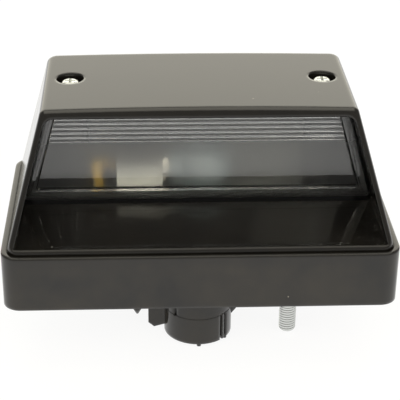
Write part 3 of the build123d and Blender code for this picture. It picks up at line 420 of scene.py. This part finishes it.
def plated_metal(name, tone, rough, patch_mm, metallic=1.0):
    """A plated or bare metal of one colour, with soft clouds in its gloss."""
    material, tree, shader, place = new_material(name)
    set_sockets(shader, {"Metallic": metallic, "Base Color": tone})
    drift_gloss(tree, shader, place, patch_mm * MM, detail=3.0,
                smooth=rough * (1 - METAL_DRIFT), rough=rough * (1 + METAL_DRIFT))
    return material


def give(material, *names):
    """Puts a finish on parts of the frame, in place of the one that they came with."""
    for name in names:
        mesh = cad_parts[name].data
        mesh.materials.clear()
        mesh.materials.append(material)


def start_clean():
    """Object mode with nothing selected."""
    if bpy.context.mode != "OBJECT":
        bpy.ops.object.mode_set(mode="OBJECT")
    bpy.ops.object.select_all(action="DESELECT")


def take_up(piece):
    """Object mode with only this piece selected and active."""
    start_clean()
    bpy.context.view_layer.objects.active = piece
    piece.select_set(True)


def open_whole(piece):
    """Edit mode with the whole of a piece selected."""
    take_up(piece)
    bpy.ops.object.mode_set(mode="EDIT")
    bpy.ops.mesh.select_all(action="SELECT")


def open_edges(piece, test):
    """Edit mode with only those edges selected whose two ends pass the test."""
    take_up(piece)
    bpy.ops.object.mode_set(mode="EDIT")
    bpy.ops.mesh.select_mode(type="EDGE")
    bpy.ops.mesh.select_all(action="DESELECT")
    bpy.ops.object.mode_set(mode="OBJECT")
    places = [v.co for v in piece.data.vertices]
    for edge in piece.data.edges:
        edge.select = all(test(places[i]) for i in edge.vertices)
    bpy.ops.object.mode_set(mode="EDIT")


def standing_cylinder(name, sides, radius, low, high, x, y):
    """A standing cylinder between two heights, its place kept in its mesh."""
    start_clean()
    bpy.ops.mesh.primitive_cylinder_add(
        vertices=sides, radius=radius, depth=high - low, location=(x, y, (low + high) / 2)
    )
    piece = bpy.context.object
    piece.name = name
    bpy.ops.object.transform_apply(location=True, rotation=True, scale=True)
    return piece


def apply_boolean(piece, tool, operation):
    """Cuts or joins a piece with a tool, which is then deleted."""
    take_up(piece)
    cut = piece.modifiers.new("cut", "BOOLEAN")
    cut.operation = operation
    cut.solver = "EXACT"
    cut.object = tool
    bpy.ops.object.modifier_apply(modifier=cut.name)
    bpy.data.objects.remove(tool)


def helix(name, section_sides, section_radius, radius, pitch, turns, steps, centre):
    """A closed wire or cutter wound about an upright axis, its section with one corner towards the axis."""
    start_clean()
    bpy.ops.mesh.primitive_circle_add(vertices=section_sides, radius=section_radius, fill_type="NOTHING")
    piece = bpy.context.object
    piece.name = name
    open_whole(piece)
    for axis in ("Z", "X"):
        bpy.ops.transform.rotate(value=math.radians(90), orient_axis=axis, center_override=(0, 0, 0))
    bpy.ops.transform.translate(value=(radius, 0, 0))
    bpy.ops.object.mode_set(mode="OBJECT")
    wind = piece.modifiers.new("wind", "SCREW")
    wind.axis = "Z"
    wind.angle = 2 * math.pi * turns
    wind.screw_offset = pitch * turns
    wind.steps = round(steps * turns)
    wind.render_steps = wind.steps
    bpy.ops.object.modifier_apply(modifier=wind.name)
    open_whole(piece)
    bpy.ops.mesh.remove_doubles(threshold=MERGE)
    bpy.ops.mesh.select_all(action="SELECT")
    bpy.ops.mesh.fill_holes(sides=section_sides)
    bpy.ops.mesh.select_all(action="SELECT")
    bpy.ops.mesh.normals_make_consistent(inside=False)
    bpy.ops.transform.translate(value=centre)
    bpy.ops.object.mode_set(mode="OBJECT")
    return piece


def threaded_bolt(sizes, low_z, high_z, corner_r, x, y):
    """One bolt: a thread cut round a stud with a rounded tip, a plain neck and a bevelled hexagon head."""
    stud_r = sizes.stud_width / 2
    head_z = high_z - sizes.head_height
    bolt = standing_cylinder("mounting_bolts_threaded", BOLT_SIDES, stud_r, low_z, 0.0, x, y)
    open_edges(bolt, lambda p: p.z < low_z + NEAR)
    bpy.ops.mesh.bevel(offset=sizes.stud_tip, segments=TIP_STEPS, affect="EDGES")
    turns = math.ceil(-low_z / sizes.thread_pitch) + SPARE_TURNS
    cutter = helix("cutter", TOOTH_SIDES, sizes.thread_depth, stud_r, sizes.thread_pitch, turns,
                   THREAD_STEPS, (x, y, low_z - sizes.thread_pitch))
    apply_boolean(bolt, cutter, "DIFFERENCE")
    neck = standing_cylinder("neck", BOLT_SIDES, sizes.stud_neck / 2, 0.0, head_z, x, y)
    apply_boolean(bolt, neck, "UNION")
    head = standing_cylinder("head", HEAD_SIDES, corner_r, head_z, high_z, x, y)
    open_whole(head)
    bpy.ops.transform.rotate(value=HEAD_TURN, orient_axis="Z", center_override=(x, y, 0.0))
    open_edges(head, lambda p: p.z > high_z - NEAR)
    bpy.ops.mesh.bevel(offset=sizes.head_edge, segments=EDGE_STEPS, affect="EDGES")
    apply_boolean(bolt, head, "UNION")
    return bolt


def finish_piece(piece, material, slot_name, smooth_angle, *stands_for):
    """Gives a new piece its finish and shading and fixes it to the frame."""
    take_up(piece)
    bpy.ops.object.shade_smooth_by_angle(angle=smooth_angle)
    piece.data.materials.clear()
    piece.data.materials.append(material)
    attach(piece, "root")
    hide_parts(*stands_for)


class LAMP_OT_mouldings(bpy.types.Operator):
    """Gives the base and the hood their black plastic"""

    bl_idname = "lamp.mouldings"
    bl_label = "Black mouldings"

    def execute(self, context):
        give(black_abs(context.scene.lamp_colours, context.scene.lamp_sizes), "base", "hood")
        return {"FINISHED"}


class LAMP_OT_lens(bpy.types.Operator):
    """Gives the lens its clear plastic"""

    bl_idname = "lamp.lens"
    bl_label = "Lens"

    def execute(self, context):
        give(clear_acrylic(context.scene.lamp_colours, context.scene.lamp_sizes), "lens")
        return {"FINISHED"}


class LAMP_OT_seals(bpy.types.Operator):
    """Gives the three seals their rubber"""

    bl_idname = "lamp.seals"
    bl_label = "Seals"

    def execute(self, context):
        colours = context.scene.lamp_colours
        # moulded rubber: dull and nearly black, with no glints along its edges
        rubber = plain_plastic("seal_rubber", colours.rubber, rough=0.6, ior=1.5, patch_mm=2.0)
        give(rubber, "lens_seal", "hood_seal", "plug_seal")
        return {"FINISHED"}


class LAMP_OT_screws(bpy.types.Operator):
    """Gives the cover screws, the holder's screws and the inserts their metal"""

    bl_idname = "lamp.screws"
    bl_label = "Screws and inserts"

    def execute(self, context):
        colours = context.scene.lamp_colours
        # steel with bright zinc: a cool white metal, a little cloudy
        zinc = plated_metal("zinc_plated_steel", colours.zinc, rough=0.22, patch_mm=1.5)
        give(zinc, "cover_screws", "holder_screws")
        # brass off the lathe: warm yellow, with fine marks that spread its glints
        brass = plated_metal("turned_brass", colours.brass, rough=0.25, patch_mm=1.0)
        give(brass, "screw_inserts")
        return {"FINISHED"}


class LAMP_OT_studs(bpy.types.Operator):
    """Models the two mounting bolts with their hexagon heads and threads"""

    bl_idname = "lamp.studs"
    bl_label = "Threaded mounting bolts"

    def execute(self, context):
        sizes = context.scene.lamp_sizes
        low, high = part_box("mounting_bolts")
        corner_r = sizes.head_flats / math.sqrt(3)
        far_x, far_y = high.x - corner_r, high.y - sizes.head_flats / 2
        bolt = threaded_bolt(sizes, low.z, high.z, corner_r, far_x, -far_y)
        take_up(bolt)
        bpy.ops.object.duplicate()
        twin = bpy.context.object
        open_whole(twin)
        bpy.ops.transform.translate(value=(-2 * far_x, 2 * far_y, 0.0))
        take_up(bolt)
        twin.select_set(True)
        bpy.ops.object.join()
        zinc = bpy.data.materials["zinc_plated_steel"]
        finish_piece(bolt, zinc, "zinc_steel", BOLT_SMOOTH, "mounting_bolts")
        return {"FINISHED"}


class LAMP_OT_socket(bpy.types.Operator):
    """Gives the socket's core and pins their finishes"""

    bl_idname = "lamp.socket"
    bl_label = "Socket core and pins"

    def execute(self, context):
        colours = context.scene.lamp_colours
        # moulded PBT: dark grey and satin beside the glossy black
        grey = plain_plastic("grey_pbt_moulded", colours.core, rough=0.35, ior=1.55, patch_mm=3.0)
        give(grey, "connector_core")
        give(bpy.data.materials["turned_brass"], "connector_pins")
        return {"FINISHED"}


class LAMP_OT_holder(bpy.types.Operator):
    """Gives the lampholder, its sleeve, its spring contact and the rivet their finishes"""

    bl_idname = "lamp.holder"
    bl_label = "Lampholder"

    def execute(self, context):
        colours = context.scene.lamp_colours
        give(white_pbt(colours, context.scene.lamp_sizes), "lampholder")
        # drawn brass with nickel: a warm white metal
        nickel = plated_metal("nickel_plated_brass", colours.nickel, rough=0.25, patch_mm=2.0)
        give(nickel, "holder_sleeve", "bulb_cap")
        # spring brass under years of tarnish: deep yellow, and hardly a mirror any more
        tarnished = plated_metal(
            "spring_brass_tarnished", colours.tarnish, rough=0.5, patch_mm=1.0, metallic=0.1
        )
        give(tarnished, "centre_contact", "contact_rivet")
        return {"FINISHED"}


class LAMP_OT_bulb(bpy.types.Operator):
    """Gives the bulb its glass and metal"""

    bl_idname = "lamp.bulb"
    bl_label = "Bulb"

    def execute(self, context):
        colours = context.scene.lamp_colours
        give(pearl_glass(colours), "bulb_glass", "bulb_stem")
        # pressed black glass: deep black with a wet gloss
        insulator = plain_plastic(
            "black_glass_pressed", colours.black_glass, rough=0.12, ior=1.52, patch_mm=2.0
        )
        give(insulator, "bulb_insulator")
        # cast solder: a grey metal with a dull bloom
        give(plated_metal("tin_solder", colours.solder, rough=0.35, patch_mm=0.8), "bulb_foot")
        # drawn tungsten: a dark grey metal with short glints
        tungsten = plated_metal("tungsten_drawn", colours.tungsten, rough=0.35, patch_mm=0.5)
        give(tungsten, "bulb_supports")
        return {"FINISHED"}


class LAMP_OT_coil(bpy.types.Operator):
    """Models the filament as a wound wire"""

    bl_idname = "lamp.coil"
    bl_label = "Filament coil"

    def execute(self, context):
        sizes = context.scene.lamp_sizes
        low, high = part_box("bulb_filament")
        centre = (low + high) / 2
        run = high.y - low.y - sizes.coil_wire
        turns = round(run / sizes.coil_pitch)
        coil_r = (sizes.coil_width - sizes.coil_wire) / 2
        coil = helix("bulb_filament_coil", WIRE_SIDES, sizes.coil_wire / 2, coil_r, run / turns, turns,
                     COIL_STEPS, (centre.x, centre.y, centre.z - run / 2))
        open_whole(coil)
        bpy.ops.transform.rotate(value=math.radians(90), orient_axis="X", center_override=centre)
        tungsten = bpy.data.materials["tungsten_drawn"]
        finish_piece(coil, tungsten, "tungsten", COIL_SMOOTH, "bulb_filament")
        return {"FINISHED"}


class LAMP_OT_mirror(bpy.types.Operator):
    """Gives the reflector its silver lacquer"""

    bl_idname = "lamp.mirror"
    bl_label = "Reflector"

    def execute(self, context):
        colours = context.scene.lamp_colours
        # sprayed silver lacquer gone dull: an even grey with a soft sheen
        lacquer = plain_plastic("silver_lacquer", colours.mirror, rough=0.35, ior=1.5, patch_mm=6.0)
        give(lacquer, "reflector")
        return {"FINISHED"}


class LAMP_OT_leads(bpy.types.Operator):
    """Gives the two leads their insulation"""

    bl_idname = "lamp.leads"
    bl_label = "Leads"

    def execute(self, context):
        colours = context.scene.lamp_colours
        # extruded PVC: even and satin, with one soft glint along the lead
        give(plain_plastic("red_pvc", colours.red, rough=0.35, ior=1.53, patch_mm=1.5), "lead_live")
        give(plain_plastic("brown_pvc", colours.brown, rough=0.35, ior=1.53, patch_mm=1.5), "lead_earth")
        return {"FINISHED"}


class LAMP_OT_stage(bpy.types.Operator):
    """Makes the pale floor, the light and the camera"""

    bl_idname = "lamp.stage"
    bl_label = "Studio"

    def execute(self, context):
        studio = context.scene.lamp_studio
        make_floor(studio)
        make_light(context.scene, studio)
        make_camera(context.scene, studio)
        context.scene.view_settings.view_transform = "Standard"
        return {"FINISHED"}


def make_floor(studio):
    """A pale floor under the socket, white to the eye and in reflections, that keeps a soft shadow."""
    start_clean()
    bpy.ops.mesh.primitive_plane_add(size=studio.floor_size, location=(0, 0, CAD_BOX[0][2] - FLOOR_GAP))
    floor = bpy.context.object
    floor.name = "floor"
    material = bpy.data.materials.new("painted_floor")
    material.use_nodes = True
    tree = material.node_tree
    tree.nodes.clear()
    path = add_node(tree, "ShaderNodeLightPath")
    seen = path.outputs["Is Camera Ray"]
    for ray in ("Is Glossy Ray", "Is Transmission Ray"):
        either = add_node(tree, "ShaderNodeMath", {0: seen, 1: path.outputs[ray]}, operation="MAXIMUM")
        seen = either.outputs[0]
    share = add_node(tree, "ShaderNodeMath", {0: seen, 1: FLOOR_GLOW}, operation="MULTIPLY")
    paint = add_node(tree, "ShaderNodeBsdfDiffuse", {"Color": studio.floor})
    glow = add_node(tree, "ShaderNodeEmission", {"Color": (1, 1, 1, 1), "Strength": 1.0})
    mixed = add_node(
        tree, "ShaderNodeMixShader", {0: share.outputs[0], 1: paint.outputs[0], 2: glow.outputs[0]}
    )
    add_node(tree, "ShaderNodeOutputMaterial", {"Surface": mixed.outputs[0]})
    floor.data.materials.append(material)


def box_light(name, watts, tint, width, height, place, aim, mirrored=True):
    """A soft light that looks at a point. One that isn't mirrored lights the lamp but shows in no gloss."""
    data = bpy.data.lights.new(name, "AREA")
    data.shape = "RECTANGLE"
    data.size = width
    data.size_y = height
    data.energy = watts
    data.color = tint[:3]
    lamp = bpy.data.objects.new(name, data)
    lamp.location = place
    lamp.rotation_euler = (Vector(aim) - Vector(place)).to_track_quat("-Z", "Y").to_euler()
    lamp.visible_glossy = mirrored
    bpy.context.scene.collection.objects.link(lamp)


def make_light(scene, studio):
    """A dim even room, a lit wall behind that the roof mirrors, a panel above and two boxes in front."""
    world = bpy.data.worlds.new("room")
    scene.world = world
    world.use_nodes = True
    back = world.node_tree.nodes["Background"]
    set_sockets(back, {"Color": studio.sky_tint, "Strength": studio.sky})
    box_light("back_wall", studio.wall_light, studio.light_tint, width=2.4, height=1.2,
              place=(0.0, 1.2, 0.62), aim=(0.0, 0.0, 0.62))
    box_light("top_panel", studio.top_light, studio.light_tint, width=1.4, height=1.2,
              place=(0.0, 0.15, 1.2), aim=(0.0, 0.15, 0.0))
    # seen from behind, the black roof would mirror these two as one white sheet
    for name, x in (("left_box", -0.8), ("right_box", 0.8)):
        box_light(name, studio.side_light, studio.light_tint, width=1.3, height=1.3,
                  place=(x, -0.95, 0.65), aim=(0.0, 0.0, 0.03), mirrored=False)


def make_camera(scene, studio):
    """A camera that looks down at the sloped mouth, a little from the left."""
    data = bpy.data.cameras.new("camera")
    data.sensor_width = PICTURE_WIDTH
    data.lens = studio.focal_mm
    data.clip_start = NEAREST_SEEN
    data.clip_end = FARTHEST_SEEN
    camera = bpy.data.objects.new("camera", data)
    scene.collection.objects.link(camera)
    turn = (
        Matrix.Rotation(studio.yaw, 4, "Z")
        @ Matrix.Rotation(math.pi / 2 - studio.pitch, 4, "X")
        @ Matrix.Rotation(studio.roll, 4, "Z")
    )
    camera.matrix_world = Matrix.Translation((studio.camera_x, studio.camera_y, studio.camera_z)) @ turn
    scene.camera = camera


STEPS = (
    LAMP_OT_mouldings,
    LAMP_OT_lens,
    LAMP_OT_seals,
    LAMP_OT_screws,
    LAMP_OT_studs,
    LAMP_OT_socket,
    LAMP_OT_holder,
    LAMP_OT_bulb,
    LAMP_OT_coil,
    LAMP_OT_mirror,
    LAMP_OT_leads,
    LAMP_OT_stage,
)


class LAMP_PT_panel(bpy.types.Panel):
    """Lists the steps that dress the lamp"""

    bl_idname = "LAMP_PT_panel"
    bl_label = "Number plate lamp"
    bl_space_type = "VIEW_3D"
    bl_region_type = "UI"
    bl_category = "Lamp"

    def draw(self, context):
        for step in STEPS:
            self.layout.operator(step.bl_idname)


GROUPS = {"lamp_sizes": LampSizes, "lamp_colours": LampColours, "lamp_studio": StudioSettings}


def register():
    """Registers the settings, the steps and the panel."""
    for group in GROUPS.values():
        bpy.utils.register_class(group)
    for name, group in GROUPS.items():
        setattr(bpy.types.Scene, name, bpy.props.PointerProperty(type=group))
    for step in STEPS:
        bpy.utils.register_class(step)
    bpy.utils.register_class(LAMP_PT_panel)


def unregister():
    """Takes back what register has registered."""
    bpy.utils.unregister_class(LAMP_PT_panel)
    for step in reversed(STEPS):
        bpy.utils.unregister_class(step)
    for name in GROUPS:
        delattr(bpy.types.Scene, name)
    for group in reversed(GROUPS.values()):
        bpy.utils.unregister_class(group)


def main():
    """Runs all steps in order."""
    register()
    bpy.ops.lamp.mouldings()
    bpy.ops.lamp.lens()
    bpy.ops.lamp.seals()
    bpy.ops.lamp.screws()
    bpy.ops.lamp.studs()
    bpy.ops.lamp.socket()
    bpy.ops.lamp.holder()
    bpy.ops.lamp.bulb()
    bpy.ops.lamp.coil()
    bpy.ops.lamp.mirror()
    bpy.ops.lamp.leads()
    bpy.ops.lamp.stage()


if __name__ == "__main__":
    main()
